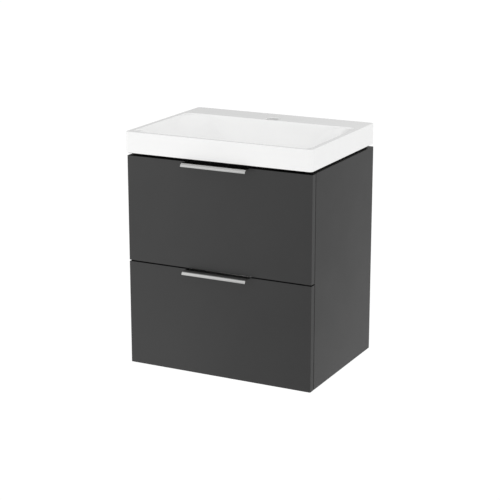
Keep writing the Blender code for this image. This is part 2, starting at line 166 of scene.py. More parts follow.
# Bumper pads: distance out from the side panel's inner face, and in from the front's ends
PAD_RADIUS = 0.0045
PAD_THICK = 0.0017
PAD_FROM_INNER = 0.009
PAD_FROM_END = 0.014
# Bearing balls: races stand off the drawer member's inner face by so much
BALL_RADIUS = 0.0013
BALL_PITCH = 0.0095
BALLS_IN_ROW = 13
BALLS_FROM_END = 0.010
RUNNER_SHEET = 0.0012
OUTER_RACE = 0.0058
INNER_RACE = 0.0038

# Camera at the photograph's viewing angle, in degrees, metres and millimetres
CAMERA_AZIMUTH = 26.754
CAMERA_ELEVATION = 15.568
CAMERA_DISTANCE = 3.8543
CAMERA_LENS = 109.356
CAMERA_SENSOR = 36.0
CAMERA_TARGET = Vector((-0.00566, -0.185, UNDERSIDE + 0.27947))

# Brightness of each part of the studio. The parts add up, so a negative one darkens what it covers
LEVELS = {
    "horizon": 0.869,
    "zenith": 0.841,
    "dark_front": 0.048,
    "back_left": -0.475,
    "back_right": -0.167,
    "softbox_left": 0.329,
    "right_fill": 0.220,
    "floor_back": 0.185,
    "floor_left": 0.455,
    "floor_right": -0.065,
    "floor_far": 0.211,
}
# Brightness of floor and surroundings as the camera itself sees them
BACKDROP = 1.03
# Soft patches of the surroundings: direction, then cosines where each begins and is full
PATCHES = (
    ("dark_front", (-0.05, -0.93, 0.37), 0.86, 0.92),
    ("back_left", (-0.56, 0.78, 0.27), 0.93, 0.99),
    ("back_right", (0.50, 0.86, 0.08), 0.80, 0.97),
    ("right_fill", (0.90, -0.35, 0.25), 0.35, 0.85),
)
# Light panel: foot of its edge, the direction it stands in (degrees from straight ahead, negative to the
# left), width and height
SOFTBOX_EDGE = (-0.845, -1.89, -0.30)
SOFTBOX_BEARING = -48
SOFTBOX_SIZE = (1.3, 2.3)

# Floor, below the hanging unit, and the parts of it that glow. Each pair is where a soft step starts
# and ends: metres ahead of the wall or along DIP_TOWARD, or degrees to the left of straight ahead as
# seen from BEARING_Y
FLOOR_BELOW = 0.300
FLOOR_RADIUS = 14.0
FLOOR_SHADE = 0.80
BEARING_Y = -0.3
RIGHT_BEARINGS = (-30, -5)
LEFT_BEARINGS = (18, 34)
NEAR_FADES = (0.95, 1.30)
LEFT_STARTS = (0.75, 1.00)
FAR_STARTS = (3.55, 3.80)
DIP_TOWARD = (0.954, 0.299, 0)
DIP_STARTS = (0.56, 0.80)
DIP_FADES = (1.2, 2.4)


# ---------------------------------------------------------------- mesh helpers


def new_piece(name, bm, material, body, node=None, angle=None):
    """A piece drawn in place in the row frame, riding on a body and standing for a CAD node."""
    bmesh.ops.recalc_face_normals(bm, faces=bm.faces)
    mesh = bpy.data.meshes.new(name)
    bm.to_mesh(mesh)
    bm.free()
    mesh.materials.append(material)
    mesh.shade_smooth()
    if angle:
        mesh.set_sharp_from_angle(angle=math.radians(angle))
    obj = bpy.data.objects.new(name, mesh)
    bpy.context.scene.collection.objects.link(obj)
    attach(obj, body)
    if node:
        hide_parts(node)
    return obj


def clean_copy(node):
    """The CAD node's faces as whole polygons, for bevelling."""
    bm = bmesh.new()
    bm.from_mesh(frame["nodes"][node].data)
    bmesh.ops.remove_doubles(bm, verts=bm.verts, dist=1e-6)
    bmesh.ops.dissolve_limit(bm, angle_limit=math.radians(0.5), verts=bm.verts, edges=bm.edges)
    return bm


def bevel(obj, width, segments=3, angle=30):
    """Rounds the edges that are sharper than an angle."""
    modifier = obj.modifiers.new("soft edges", "BEVEL")
    modifier.width = width
    modifier.segments = segments
    modifier.limit_method = "ANGLE"
    modifier.angle_limit = math.radians(angle)
    modifier.harden_normals = True
    modifier.use_clamp_overlap = True


def weigh_normals(obj):
    """Flat shading for large faces, so that small ones beside them don't pull it about."""
    modifier = obj.modifiers.new("even shading", "WEIGHTED_NORMAL")
    modifier.keep_sharp = True
    modifier.weight = 100


def refined(node, material, width, segments=3):
    """The CAD node with its edges softened."""
    piece = new_piece(f"{node}_finish", clean_copy(node), material, BODY_OF[node], node)
    bevel(piece, width, segments)


def quarter(steps):
    """Angles from 0 to 90 degrees, both ends included."""
    return [math.radians(90 * step / steps) for step in range(steps + 1)]


def rounded_rectangle(x, y, radius, steps):
    """Outline between two pairs of limits, each corner an arc of so many steps."""
    points = []
    corners = ((x[1], y[1], 0), (x[0], y[1], 90), (x[0], y[0], 180), (x[1], y[0], 270))
    for corner_x, corner_y, start in corners:
        centre_x = corner_x - radius * (1 if corner_x == x[1] else -1)
        centre_y = corner_y - radius * (1 if corner_y == y[1] else -1)
        for step in range(steps + 1):
            angle = math.radians(start + 90 * step / steps)
            points.append((centre_x + radius * math.cos(angle), centre_y + radius * math.sin(angle)))
    return points


def skinned(bm, rings):
    """Quads between rings with equal numbers of vertices, and a face over each end."""
    for ring, following in zip(rings, rings[1:]):
        for i in range(len(ring)):
            j = (i + 1) % len(ring)
            bm.faces.new((ring[i], ring[j], following[j], following[i]))
    bm.faces.new(rings[0])
    bm.faces.new(rings[-1])
    return bm


def loft(sections):
    """A closed solid through outlines with equal numbers of points, each paired with its height."""
    bm = bmesh.new()
    return skinned(bm, [[bm.verts.new((x, y, z)) for x, y in outline] for outline, z in sections])


def turned(profile, centre, sides, axis="Z"):
    """A solid of revolution about Z or Y, from pairs of radius and place along the axis, ends closed."""
    bm = bmesh.new()
    rings = []
    for radius, along in profile:
        ring = []
        for side in range(sides):
            angle = 2 * math.pi * side / sides
            a, b = radius * math.cos(angle), radius * math.sin(angle)
            spot = (a, b, along) if axis == "Z" else (a, along, b)
            ring.append(bm.verts.new(Vector(centre) + Vector(spot)))
        rings.append(ring)
    return skinned(bm, rings)


def prism(outline, axis, low, high):
    """An outline swept along one axis. Its pairs are the other two coordinates, in X, Y, Z order."""
    def corner(pair, distance):
        values = list(pair)
        values.insert("XYZ".index(axis), distance)
        return values

    bm = bmesh.new()
    return skinned(bm, [[bm.verts.new(corner(pair, end)) for pair in outline] for end in (low, high)])


def combine(bm, tools):
    """The mesh after a list of ("UNION" or "DIFFERENCE", mesh) steps."""
    def temporary(source):
        bmesh.ops.recalc_face_normals(source, faces=source.faces)
        mesh = bpy.data.meshes.new("temporary")
        source.to_mesh(mesh)
        source.free()
        obj = bpy.data.objects.new("temporary", mesh)
        bpy.context.scene.collection.objects.link(obj)
        return obj

    target = temporary(bm)
    for operation, tool_mesh in tools:
        tool = temporary(tool_mesh)
        modifier = target.modifiers.new("shape", "BOOLEAN")
        modifier.operation = operation
        modifier.object = tool
        bpy.context.view_layer.update()
        graph = bpy.context.evaluated_depsgraph_get()
        result = bpy.data.meshes.new_from_object(target.evaluated_get(graph))
        target.modifiers.clear()
        target.data = result
        bpy.data.objects.remove(tool, do_unlink=True)
    out = bmesh.new()
    out.from_mesh(target.data)
    bpy.data.objects.remove(target, do_unlink=True)
    return out


# ---------------------------------------------------------------- materials


class Finish:
    """A Principled material whose nodes are added one call at a time."""

    def __init__(self, name, colour, roughness, metallic=0.0, **sockets):
        self.material = bpy.data.materials.new(name)
        self.material.use_nodes = True
        self.nodes = self.material.node_tree.nodes
        self.links = self.material.node_tree.links
        self.shader = self.nodes["Principled BSDF"]
        self.shader.inputs["Base Color"].default_value = (*colour, 1.0)
        self.shader.inputs["Roughness"].default_value = roughness
        self.shader.inputs["Metallic"].default_value = metallic
        for socket, value in sockets.items():
            self.shader.inputs[socket.replace("_", " ")].default_value = value
        self.place = self.nodes.new("ShaderNodeTexCoord").outputs["Object"]

    def add(self, kind, inputs=(), **settings):
        """A new node: each input takes a value or another node's output."""
        node = self.nodes.new(f"ShaderNode{kind}")
        for key, value in settings.items():
            setattr(node, key, value)
        for socket, value in dict(inputs).items():
            if isinstance(value, bpy.types.NodeSocket):
                self.links.new(value, node.inputs[socket])
            else:
                node.inputs[socket].default_value = value
        return node

    def stretched(self, scale):
        """The object's own coordinates in metres, multiplied along each axis."""
        return self.add("Mapping", {"Vector": self.place, "Scale": scale}).outputs[0]

    def noise(self, scale, detail=2.0, roughness=0.5, vector=None, distortion=0.0):
        inputs = {"Vector": vector or self.place, "Scale": scale, "Detail": detail}
        inputs.update({"Roughness": roughness, "Distortion": distortion})
        return self.add("TexNoise", inputs).outputs[0]

    def cells(self, scale, output="Color", vector=None, feature="F1"):
        inputs = {"Vector": vector or self.place, "Scale": scale}
        return self.add("TexVoronoi", inputs, feature=feature).outputs[output]

    def span(self, value, low, high, to_low=0.0, to_high=1.0):
        """A value taken from one range to another, and kept inside it."""
        inputs = {"Value": value, "From Min": low, "From Max": high, "To Min": to_low, "To Max": to_high}
        return self.add("MapRange", inputs).outputs[0]

    def math(self, operation, a, b=0.0):
        return self.add("Math", {0: a, 1: b}, operation=operation).outputs[0]

    def mix(self, factor, a, b):
        """Colour a at factor 0, and b at 1."""
        return self.add("Mix", {0: factor, 6: a, 7: b}, data_type="RGBA").outputs[2]

    def axes(self, source=None):
        """The X, Y and Z of a vector, or else of the place on the object in metres."""
        return self.add("SeparateXYZ", {0: source or self.place}).outputs

    def facing(self):
        """The surface's direction along each row axis."""
        normal = self.add("NewGeometry").outputs["Normal"]
        return self.axes(normal)

    def colour(self, source):
        self.links.new(source, self.shader.inputs["Base Color"])

    def rough(self, source):
        self.links.new(source, self.shader.inputs["Roughness"])

    def bump(self, *layers):
        """Layers of (height source, distance in metres), one on top of the other."""
        normal = None
        for source, distance in layers:
            inputs = {"Height": source, "Distance": distance, "Strength": 1.0}
            if normal:
                inputs["Normal"] = normal
            normal = self.add("Bump", inputs).outputs[0]
        self.links.new(normal, self.shader.inputs["Normal"])


def grey(value):
    return (value, value, value, 1.0)


def anthracite_finish(name, shade, roughness, **sockets):
    """Nearly black lacquer or edge band: specks, orange peel, slow changes of tone and uneven gloss."""
    made = Finish(name, (shade,) * 3, roughness, **sockets)
    cloud = made.noise(9.0, 3.0)
    speck = made.noise(2600.0, 1.0)
    base = made.mix(made.span(cloud, 0.3, 0.7), grey(shade * 0.94), grey(shade * 1.06))
    made.colour(made.mix(made.span(speck, 0.35, 0.75, 0.0, 0.35), base, grey(shade * 1.25)))
    wipe = made.noise(2.0, 2.0, 0.5, made.stretched((1.0, 1.0, 3.0)), 0.3)
    wiped = made.span(wipe, 0.25, 0.75, -0.015, 0.015)
    clouded = made.span(cloud, 0.2, 0.8, -0.01, 0.01)
    made.rough(made.math("ADD", made.math("ADD", wiped, clouded), roughness))
    peel = made.noise(420.0, 2.0, 0.45)
    grain = made.noise(1900.0, 2.0, 0.6)
    made.bump((peel, 0.000035), (grain, 0.000006))
    return made.material


def ceramic_finish():
    """White glaze over vitreous clay: slow waviness, pinhole specks, and a bare, rough foot."""
    made = Finish("white_glaze", (0.93, 0.93, 0.925), 0.05)
    height = made.axes()[2]
    up = made.facing()[2]
    # Bare clay: where the skirt faces down, and all below it that doesn't face up, but not the waste hole
    underside = made.math("MULTIPLY", made.span(up, -0.60, -0.90),
                          made.span(height, BASIN_BOTTOM + 0.0005, BASIN_BOTTOM - 0.0002))
    foot = made.math("MULTIPLY", made.span(up, 0.10, 0.04),
                     made.span(height, BASIN_BOTTOM - 0.0002, BASIN_BOTTOM - 0.0012))
    flat = made.add("VectorMath", {0: made.place, 1: (1.0, 1.0, 0.0)}, operation="MULTIPLY").outputs[0]
    waste = (0.0, WASTE_Y, 0.0)
    from_waste = made.add("VectorMath", {0: flat, 1: waste}, operation="DISTANCE").outputs["Value"]
    foot = made.math("MULTIPLY", foot, made.span(from_waste, WASTE_RADIUS + 0.002, WASTE_RADIUS + 0.004))
    sole = made.math("MAXIMUM", underside, foot)
    cloud = made.noise(7.0, 3.0)
    glaze = made.mix(made.span(cloud, 0.3, 0.7), (0.925, 0.926, 0.923, 1), (0.940, 0.940, 0.936, 1))
    dust = made.cells(900.0, "Distance")
    speck = made.span(dust, 0.035, 0.0)
    glaze = made.mix(made.math("MULTIPLY", speck, 0.25), glaze, (0.74, 0.73, 0.70, 1))
    clay = made.mix(made.noise(700.0, 3.0), (0.62, 0.57, 0.49, 1), (0.74, 0.70, 0.62, 1))
    made.colour(made.mix(sole, glaze, clay))
    gloss = made.span(made.noise(40.0, 3.0), 0.3, 0.7, 0.035, 0.065)
    made.rough(made.add("Mix", {0: sole, 2: gloss, 3: 0.75}).outputs[0])
    made.bump((made.noise(30.0, 2.0, 0.4), 0.00003), (made.noise(300.0, 2.0), 0.000002))
    return made.material


def brushed_finish(name, colour, roughness, along, tone=0.10, depth=0.000012):
    """Metal brushed along one axis: long fine scratches in colour, gloss and height."""
    made = Finish(name, colour, roughness, 1.0)
    scale = [1400.0, 1400.0, 1400.0]
    scale["XYZ".index(along)] = 22.0
    lines = made.noise(1.0, 3.0, 0.65, made.stretched(scale))
    scale = [s * 0.22 for s in scale]
    bands = made.noise(1.0, 2.0, 0.5, made.stretched(scale))
    dark = (*(c * (1 - tone) for c in colour), 1)
    light = (*(min(1.0, c * (1 + tone)) for c in colour), 1)
    made.colour(made.mix(made.span(lines, 0.3, 0.7), dark, light))
    scratched = made.span(lines, 0.3, 0.7, -0.06, 0.06)
    banded = made.span(bands, 0.3, 0.7, -0.04, 0.04)
    made.rough(made.math("ADD", made.math("ADD", scratched, banded), roughness))
    made.bump((lines, depth), (bands, depth * 0.8))
    return made.material


def melamine_finish():
    """White faced chipboard: faintly clouded, with a fine pebbled face."""
    made = Finish("white_melamine_board", (0.80, 0.80, 0.79), 0.45)
    cloud = made.noise(12.0, 2.0)
    made.colour(made.mix(cloud, (0.775, 0.775, 0.765, 1), (0.815, 0.815, 0.808, 1)))
    pebble = made.cells(1500.0, "Distance", feature="SMOOTH_F1")
    made.rough(made.span(pebble, 0.1, 0.6, 0.40, 0.52))
    made.bump((pebble, 0.000020), (made.noise(200.0, 3.0), 0.000012))
    return made.material


def carcass_finish():
    """Anthracite laminate on chipboard, bare chips showing on the edges against the wall."""
    shade = 0.0435
    made = Finish("anthracite_laminate", (shade,) * 3, 0.45, Specular_IOR_Level=0.17)
    cloud = made.noise(11.0, 3.0)
    face = made.mix(made.span(cloud, 0.3, 0.7), grey(shade * 0.94), grey(shade * 1.06))
    chip = made.cells(420.0, "Color", made.stretched((1.0, 1.0, 2.4)))
    tone = made.axes(chip)[0]
    bare = made.mix(tone, (0.30, 0.20, 0.115, 1), (0.62, 0.47, 0.30, 1))
    back = made.math("MULTIPLY", made.span(made.facing()[1], 0.90, 0.98),
                     made.span(made.axes()[1], -0.001, -0.0004))
    made.colour(made.mix(back, face, bare))
    pore = made.noise(1300.0, 2.0, 0.6, made.stretched((1.0, 0.25, 1.0)))
    level = made.span(pore, 0.3, 0.7, 0.41, 0.49)
    made.rough(made.add("Mix", {0: back, 2: level, 3: 0.85}).outputs[0])
    chips = made.math("MULTIPLY", tone, back)
    made.bump((pore, 0.000014), (made.noise(260.0, 2.0), 0.000020), (chips, 0.0002))
    return made.material


def zinc_finish():
    """Rolled steel with a thin zinc coat: faint crystal patches and rolling lines along the depth."""
    made = Finish("zinc_plate", (0.56, 0.57, 0.58), 0.34, 1.0)
    patch = made.axes(made.cells(190.0))[0]
    lines = made.noise(1.0, 2.0, 0.6, made.stretched((900.0, 18.0, 900.0)))
    tone = made.math("ADD", made.math("MULTIPLY", patch, 0.35), made.math("MULTIPLY", lines, 0.65))
    made.colour(made.mix(made.span(tone, 0.2, 0.8), (0.47, 0.48, 0.50, 1), (0.66, 0.66, 0.66, 1)))
    made.rough(made.span(tone, 0.2, 0.8, 0.42, 0.28))
    made.bump((lines, 0.000010), (patch, 0.000004))
    return made.material


def plastic_finish(name, colour, roughness=0.5):
    """Moulded plastic with a fine spark-eroded texture."""
    made = Finish(name, colour, roughness)
    cloud = made.noise(30.0, 2.0)
    dark = (*(c * 0.93 for c in colour), 1)
    light = (*(min(1.0, c * 1.06) for c in colour), 1)
    made.colour(made.mix(cloud, dark, light))
    grain = made.noise(2400.0, 2.0, 0.6)
    made.rough(made.span(grain, 0.3, 0.7, roughness - 0.06, roughness + 0.06))
    made.bump((grain, 0.00002))
    return made.material


FRONT = anthracite_finish("anthracite_lacquer", 0.0187, 0.30)
EDGE = anthracite_finish("anthracite_edge_band", 0.044, 0.45, Specular_IOR_Level=0.15)
# Dark matt top and bottom of the fronts: painted shade for the gaps above and between them
END_PAINTED_SHADE = anthracite_finish("anthracite_end_painted_shade", 0.016, 0.75, Specular_IOR_Level=0.05)
CARCASS = carcass_finish()
GLAZE = ceramic_finish()
HANDLE = brushed_finish("handle_metal_brushed", (0.50, 0.50, 0.495), 0.18, "X", depth=0.000004)
SCREW = brushed_finish("screw_steel_turned", (0.50, 0.50, 0.49), 0.30, "Y", 0.06)
MELAMINE = melamine_finish()
ZINC = zinc_finish()
PLASTIC = plastic_finish("damper_plastic_grey", (0.33, 0.34, 0.35))
# Near-black colour: painted shade for the gap under the basin
SEAL_PAINTED_SHADE = plastic_finish("seal_painted_shade_black", (0.010, 0.010, 0.010), 0.85)
CAP = plastic_finish("cap_plastic_anthracite", (0.045, 0.045, 0.047), 0.45)
PAD = plastic_finish("pad_soft_grey", (0.55, 0.55, 0.54), 0.35)
BALL = brushed_finish("ball_steel", (0.60, 0.60, 0.59), 0.16, "X", 0.04)


# ---------------------------------------------------------------- basin


def between_rings(position):
    """The bowl's measures at a place along its list of depths, joined by a smooth curve."""
    last = len(BOWL) - 1
    i = min(int(position), last - 1)
    t = position - i
    rows = [BOWL[max(0, i - 1)], BOWL[i], BOWL[i + 1], BOWL[min(last, i + 2)]]
    values = []
    for a, b, c, d in zip(*rows):
        values.append(b + 0.5 * t * (c - a + t * (2 * a - 5 * b + 4 * c - d + t * (3 * (b - c) + d - a))))
    return values


def bowl_outline(measures, shell=0.0):
    """The bowl's outline at one depth, set outwards by a wall's thickness."""
    _, side, back, front, radius = measures
    half = BASIN_HALF - RIM - side + shell
    y = (-BASIN_DEPTH + FRONT_RIM + front - shell, -DECK_DEPTH - back + shell)
    return rounded_rectangle((-half, half), y, radius + shell * 0.8, steps=18)


def bowl_hollow():
    """The bowl's inside, with its mouth rounded over onto the rim."""
    mouth = BOWL[0]
    sections = [(bowl_outline(mouth, BOWL_LIP), BASIN_TOP + PAST)]
    for turn in quarter(6)[:-1]:
        out, depth = BOWL_LIP * (1 - math.sin(turn)), BOWL_LIP * (1 - math.cos(turn))
        sections.append((bowl_outline(mouth, out), BASIN_TOP - depth))
    rings_per_row = 4
    for step in range(1, rings_per_row * (len(BOWL) - 1) + 1):
        measures = between_rings(step / rings_per_row)
        if measures[0] > BOWL_LIP:
            sections.append((bowl_outline(measures), BASIN_TOP - measures[0]))
    return loft(sections)


def bowl_shell():
    """The bowl's outside, one wall thickness out from its inside."""
    return loft([(bowl_outline(row, SHELL), BASIN_TOP - row[0] - SHELL) for row in BOWL])


def skirted_block():
    """The rectangular body of the basin with rounded top and bottom edges."""
    low_edge, top_edge = [], []
    for turn in quarter(5):
        in_sine, in_cosine = 1 - math.sin(turn), 1 - math.cos(turn)
        low_edge.append((LOW_EDGE * in_sine, BASIN_BOTTOM + LOW_EDGE * in_cosine))
        top_edge.append((TOP_EDGE * in_cosine, BASIN_TOP - TOP_EDGE * in_sine))
    sections = []
    for inset, z in low_edge + top_edge:
        x = (-BASIN_HALF + inset, BASIN_HALF - inset)
        y = (-BASIN_DEPTH + inset, -inset)
        sections.append((rounded_rectangle(x, y, BASIN_CORNER - inset, steps=14), z))
    return loft(sections)


def flared_hole(radius, centre_y, low, high, flare):
    """A cutter for a round hole whose top edge is rounded over."""
    profile = [(radius, low)]
    for turn in quarter(6):
        profile.append((radius + flare * (1 - math.cos(turn)), high - flare * (1 - math.sin(turn))))
    profile.append((radius + flare, high + PAST))
    return turned(profile, (0, centre_y, 0), 64)


def basin():
    """Skirted block with a foot on the cabinet, hollow below, and a bowl with a boss round its waste."""
    foot = SIDE_HIGH.x - FOOT_OUTSIDE
    foot_y = (SIDE_LOW.y + FOOT_FRONT, -FOOT_OUTSIDE)
    foot_ring = rounded_rectangle((-foot, foot), foot_y, FOOT_CORNER, steps=8)
    inside_x = (FOOT_WIDTH - foot, foot - FOOT_WIDTH)
    inside_y = (foot_y[0] + FOOT_WIDTH, foot_y[1] - FOOT_WIDTH)
    hollow = rounded_rectangle(inside_x, inside_y, HOLLOW_CORNER, steps=8)
    boss_low = BASIN_LOW.z
    bowl_floor = BASIN_TOP - BOWL[-1][0]
    boss_profile = [(BOSS_RADIUS - BOSS_CHAMFER, boss_low), (BOSS_RADIUS, boss_low + BOSS_CHAMFER),
                    (BOSS_RADIUS, bowl_floor - BOSS_UNDER_FLOOR)]
    steps = [
        ("UNION", prism(foot_ring, "Z", CABINET_TOP + TOUCH, BASIN_BOTTOM + FOOT_ROOT)),
        ("DIFFERENCE", prism(hollow, "Z", CABINET_TOP - PAST, BASIN_TOP - DECK_THICK)),
        ("UNION", bowl_shell()),
        ("UNION", turned(boss_profile, (0, WASTE_Y, 0), 64)),
        ("DIFFERENCE", bowl_hollow()),
        ("DIFFERENCE", flared_hole(WASTE_RADIUS, WASTE_Y, boss_low - PAST, bowl_floor, WASTE_FLARE)),
        ("DIFFERENCE", flared_hole(TAP_RADIUS, TAP_Y, CABINET_TOP - 2 * PAST, BASIN_TOP, TAP_FLARE)),
    ]
    piece = new_piece("basin_glazed", combine(skirted_block(), steps), GLAZE, "cabinet", "basin", angle=40)
    weigh_normals(piece)
    seal(foot, foot_y)


def seal(foot, foot_y):
    """Black strip round the foot, painted shade in the gap under the basin: a flange under the skirt and a
    lip down to the cabinet's top.
    """
    def round_foot(margin, corner):
        x = (-foot - margin, foot + margin)
        return rounded_rectangle(x, (foot_y[0] - margin, foot_y[1] + margin), corner, steps=8)

    outer = rounded_rectangle((SEAL_INSET - BASIN_HALF, BASIN_HALF - SEAL_INSET),
                              (SEAL_INSET - BASIN_DEPTH, -SEAL_INSET), SEAL_CORNER, steps=8)
    lip = round_foot(SEAL_LIP, SEAL_LIP_CORNER)
    inner = round_foot(TOUCH, FOOT_CORNER + TOUCH)
    steps = [
        ("UNION", prism(lip, "Z", CABINET_TOP + TOUCH, BASIN_BOTTOM - SEAL_LIP_BELOW)),
        ("DIFFERENCE", prism(inner, "Z", CABINET_TOP - PAST, BASIN_BOTTOM + PAST)),
    ]
    flange = prism(outer, "Z", BASIN_BOTTOM - SEAL_FLANGE, BASIN_BOTTOM - SEAL_FREE)
    piece = new_piece("basin_seal_painted_shade", combine(flange, steps), SEAL_PAINTED_SHADE, "cabinet", angle=35)
    bevel(piece, SEAL_EDGE, 2)


# ---------------------------------------------------------------- handles


def handle_outline(front_top):
    """Section of the edge pull in Y and Z: rear leg, flush top flange and a quarter-round nose."""
    sheet, back = HANDLE_SHEET, UPPER_HIGH.y + TOUCH
    under = front_top - REBATE + TOUCH
    middle_y, middle_z = FACE_Y - HANDLE_FLAT, under + sheet - HANDLE_NOSE

    def nose(radius):
        return [(middle_y - radius * math.sin(turn), middle_z + radius * math.cos(turn))
                for turn in quarter(20)]

    leg = [(back, under), (back, front_top - HANDLE_LEG), (back + sheet, front_top - HANDLE_LEG)]
    return leg + [(back + sheet, under + sheet)] + nose(HANDLE_NOSE) + nose(HANDLE_NOSE - sheet)[::-1]


def handles():
    """One edge pull on each drawer front."""
    for body, top in (("upper_drawer", UPPER_HIGH.z), ("lower_drawer", LOWER_HIGH.z)):
        node = body.replace("drawer", "handle")
        bm = prism(handle_outline(top), "X", -HANDLE_HALF, HANDLE_HALF)
        piece = new_piece(f"{node}_brushed", bm, HANDLE, body, node)
        bevel(piece, HANDLE_EDGE, 2, 50)


# ---------------------------------------------------------------- boards, sheet steel and fasteners


def boards():
    """Fronts with edge bands at the sides and dark matt ends as painted shade in the gaps, then every board
    and sheet steel node.
    """
    for node in ("upper_drawer_front", "lower_drawer_front"):
        piece = new_piece(f"{node}_lacquered", front_block(node), FRONT, BODY_OF[node], node)
        piece.data.materials.append(EDGE)
        piece.data.materials.append(END_PAINTED_SHADE)
        # Material 0 is the lacquer, 1 the edge band at the sides, 2 the top and bottom, dark and matt as
        # painted shade in the gaps
        for polygon in piece.data.polygons:
            faces_side, faces_end = abs(polygon.normal.x) > 0.9, abs(polygon.normal.z) > 0.9
            polygon.material_index = 1 if faces_side else 2 if faces_end else 0
        bevel(piece, FRONT_EDGE, 4)
    for node, slot in SLOT_OF.items():
        if slot == "carcass_board":
            refined(node, CARCASS, CARCASS_EDGE)
        elif slot == "drawer_board":
            refined(node, MELAMINE, DRAWER_EDGE)
        elif slot == "zinc_steel":
            refined(node, ZINC, SHEET_EDGE, 2)


def front_block(node):
    """A drawer front with the shallow rebate its handle lies in."""
    low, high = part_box(node)
    half, floor_z = HANDLE_HALF + TOUCH, high.z - REBATE
    outline = [(low.x, low.z), (high.x, low.z), (high.x, high.z), (half, high.z), (half, floor_z),
               (-half, floor_z), (-half, high.z), (low.x, high.z)]
    return prism(outline, "Y", low.y, high.y)


def fasteners():
    """Every screw and soft-close cylinder of the CAD part."""
    for node, slot in SLOT_OF.items():
        low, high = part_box(node)
        if slot == "screw_steel":
            screw(node, low, high)
        elif slot == "damper_plastic":
            damper(node, low, high)


def headed_profile(radius, low, high):
    """A rounded head on a shank with thread rings and a blunt tip."""
    shank = radius * 0.52
    profile = [(0.0004, high), (radius * 0.55, high - 0.0001), (radius * 0.85, high - 0.0006),
               (radius, high - 0.0012), (radius, high - 0.0019), (shank, high - 0.0020)]
    y = high - THREAD_START
    while y > low + THREAD_END:
        profile += [(shank, y), (shank * 0.78, y - THREAD_PITCH / 2)]
        y -= THREAD_PITCH
    return profile + [(shank, low + 0.0022), (0.0003, low)]


def adjuster_profile(radius, low, high):
    """A headless screw with chamfered ends."""
    return [(0.0004, high), (radius * 0.9, high), (radius, high - 0.0006),
            (radius, low + 0.0006), (radius * 0.9, low), (0.0004, low)]


def screw(node, low, high):
    """A turned screw with a cross recess, at the back of a headed one and the front of an adjuster."""
    radius = (high.x - low.x) / 2
    centre = ((low.x + high.x) / 2, 0, (low.z + high.z) / 2)
    if "adjusting" in node:
        profile = adjuster_profile(radius, low.y, high.y)
        recess = (low.y - RECESS_PAST, low.y + ADJUSTER_RECESS_DEPTH)
    else:
        profile = headed_profile(radius, low.y, high.y)
        recess = (high.y - RECESS_DEPTH, high.y + RECESS_PAST)
    arm, half = radius * 0.62, radius * 0.13
    cross = [(half, arm), (-half, arm), (-half, half), (-arm, half), (-arm, -half), (-half, -half),
             (-half, -arm), (half, -arm), (half, -half), (arm, -half), (arm, half), (half, half)]
    cutter = prism([(centre[0] + a, centre[2] + b) for a, b in cross], "Y", *recess)
    bm = combine(turned(profile, centre, 24, "Y"), [("DIFFERENCE", cutter)])
    new_piece(f"{node}_turned", bm, SCREW, BODY_OF[node], node, angle=35)


def damper(node, low, high):
    """A soft-close cylinder with stepped ends."""
    radius = (high.x - low.x) / 2
    centre = ((low.x + high.x) / 2, 0, (low.z + high.z) / 2)
    sleeve, rod = radius * 0.88, radius * 0.55
    profile = [(0.0006, high.y), (radius * 0.80, high.y), (radius * 0.86, high.y - 0.0008),
               (radius * 0.86, high.y - 0.006), (radius, high.y - 0.0068), (radius, low.y + 0.012),
               (sleeve, low.y + 0.011), (sleeve, low.y + 0.004), (rod, low.y + 0.0035),
               (rod, low.y + 0.0006), (radius * 0.45, low.y), (0.0006, low.y)]
    bm = turned(profile, centre, 32, "Y")
    new_piece(f"{node}_moulded", bm, PLASTIC, BODY_OF[node], node, angle=35)


# ---------------------------------------------------------------- small parts not in the CAD part


def gathered(meshes):
    """Several meshes as one."""
    whole = bmesh.new()
    for bm in meshes:
        mesh = bpy.data.meshes.new("part")
        bm.to_mesh(mesh)
        bm.free()
        whole.from_mesh(mesh)
        bpy.data.meshes.remove(mesh)
    return whole


def disc(centre, axis, toward, radius, thick):
    """A thin cap with a rounded rim and a shallow dimple, its flat face at the centre given."""
    height = toward * thick
    profile = [(0.0003, 0.0), (radius, 0.0), (radius, height * 0.45), (radius * 0.93, height * 0.9),
               (radius * 0.80, height), (radius * 0.34, height), (radius * 0.28, height * 0.6),
               (0.0003, height * 0.55)]
    return turned(profile, centre, 40, axis)


def cam_caps():
    """Cover caps over the cam locks of the bottom board and of the three rails."""
    x_places = (CAM_FROM_SIDE - INNER_X, INNER_X - CAM_FROM_SIDE)
    for node, axis, toward in (("bottom_panel", "Z", -1), ("front_rail", "Y", 1),
                               ("hanging_rail", "Y", -1), ("lower_back_rail", "Y", -1)):
        low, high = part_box(node)
        places = []
        for x in x_places:
            if axis == "Z":
                places += [(x, low.y + CAM_FROM_END, low.z), (x, high.y - CAM_FROM_END, low.z)]
            else:
                face = high.y if toward > 0 else low.y
                places.append((x, face, low.z + CAM_HEIGHT[node]))
        caps = [disc(place, axis, toward, CAP_RADIUS, CAP_THICK) for place in places]
        new_piece(f"{node}_cam_caps", gathered(caps), CAP, "cabinet", angle=35)


def bumper_pads():
    """Soft pads on the backs of the fronts, where they meet the side panels."""
    for body, low, high in (("upper_drawer", UPPER_LOW, UPPER_HIGH), ("lower_drawer", LOWER_LOW, LOWER_HIGH)):
        pads = []
        for x in (-INNER_X - PAD_FROM_INNER, INNER_X + PAD_FROM_INNER):
            for z in (low.z + PAD_FROM_END, high.z - PAD_FROM_END):
                pads.append(disc((x, high.y, z), "Y", 1, PAD_RADIUS, PAD_THICK))
        new_piece(f"{body}_bumper_pads", gathered(pads), PAD, body, angle=50)


def ball(centre):
    """One bearing ball."""
    bm = bmesh.new()
    bmesh.ops.create_icosphere(bm, subdivisions=2, radius=BALL_RADIUS)
    bmesh.ops.translate(bm, verts=bm.verts, vec=centre)
    return bm


